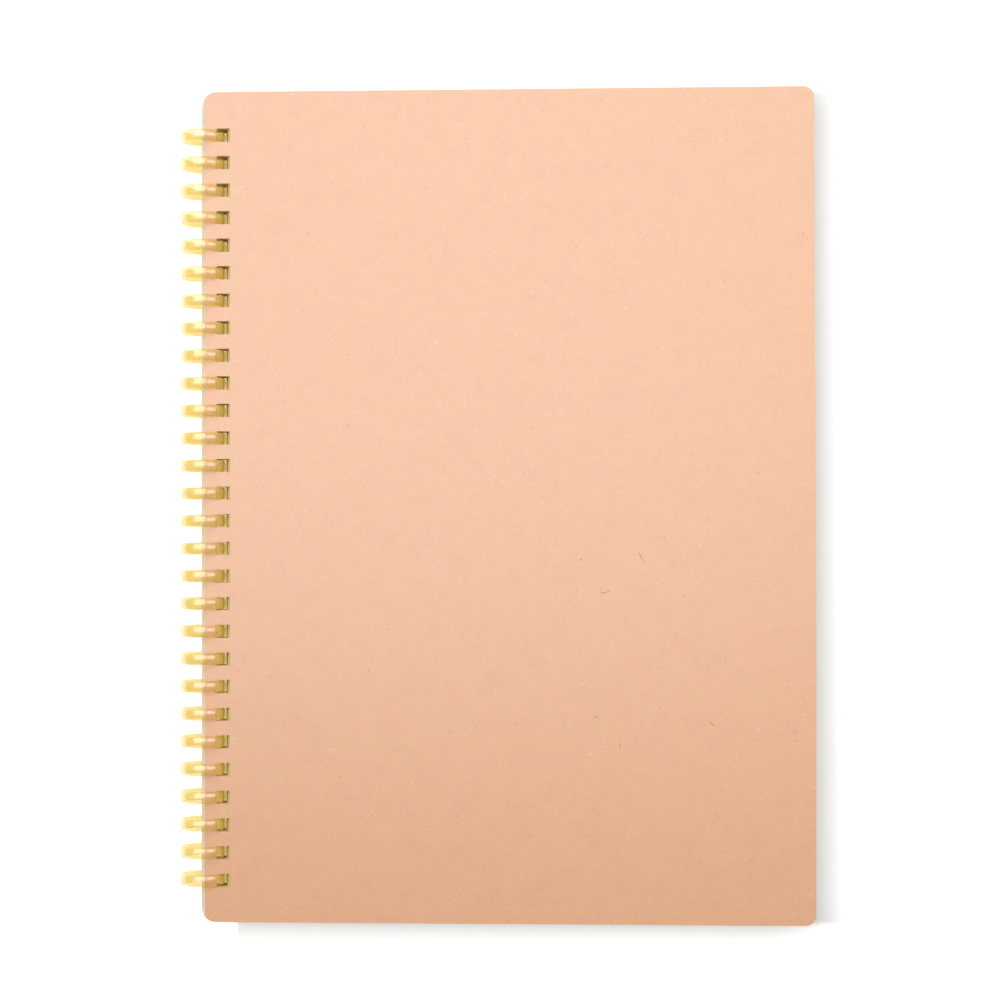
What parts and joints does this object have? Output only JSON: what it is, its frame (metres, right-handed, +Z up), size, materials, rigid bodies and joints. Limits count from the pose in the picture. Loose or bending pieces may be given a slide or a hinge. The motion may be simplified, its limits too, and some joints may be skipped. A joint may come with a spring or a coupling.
{
  "type": "ring-bound notebook",
  "caption": "Closed notebook with two plain card covers hinged on a row of separate plastic loops that run through square holes along one long edge.",
  "frame": {"origin": "middle of the underside, on the surface that the closed notebook lies on", "axes": "+X from the loops to the fore edge, +Y along the binding towards the head, +Z up through the front cover"},
  "size_m": [0.1946, 0.2548, 0.0139],
  "materials": {
    "cover_card": "plain uncoated card with short fibres and fine flecks",
    "sheet_paper": "plain uncoated cream paper",
    "loop_plastic": "smooth translucent yellow plastic"
  },
  "bodies": {
    "block": {"page_block": "sheet_paper", "ring_01": "loop_plastic", "ring_02": "loop_plastic", "ring_03": "loop_plastic", "ring_04": "loop_plastic", "ring_05": "loop_plastic", "ring_06": "loop_plastic", "ring_07": "loop_plastic", "ring_08": "loop_plastic", "ring_09": "loop_plastic", "ring_10": "loop_plastic", "ring_11": "loop_plastic", "ring_12": "loop_plastic", "ring_13": "loop_plastic", "ring_14": "loop_plastic", "ring_15": "loop_plastic", "ring_16": "loop_plastic", "ring_17": "loop_plastic", "ring_18": "loop_plastic", "ring_19": "loop_plastic", "ring_20": "loop_plastic", "ring_21": "loop_plastic", "ring_22": "loop_plastic", "ring_23": "loop_plastic", "ring_24": "loop_plastic", "ring_25": "loop_plastic", "ring_26": "loop_plastic", "ring_27": "loop_plastic", "ring_28": "loop_plastic"},
    "front": {"front_cover": "cover_card"},
    "back": {"back_cover": "cover_card"}
  },
  "joints": [
    {"name": "front_cover_hinge", "type": "hinge", "parent": "block", "child": "front", "pos_m": [-0.0904, 0, 0.00693], "axis": [0, -1, 0], "range_deg": [0, 181.2]},
    {"name": "back_cover_hinge", "type": "hinge", "parent": "block", "child": "back", "pos_m": [-0.0904, 0, 0.00693], "axis": [0, 1, 0], "range_deg": [0, 180]}
  ]
}
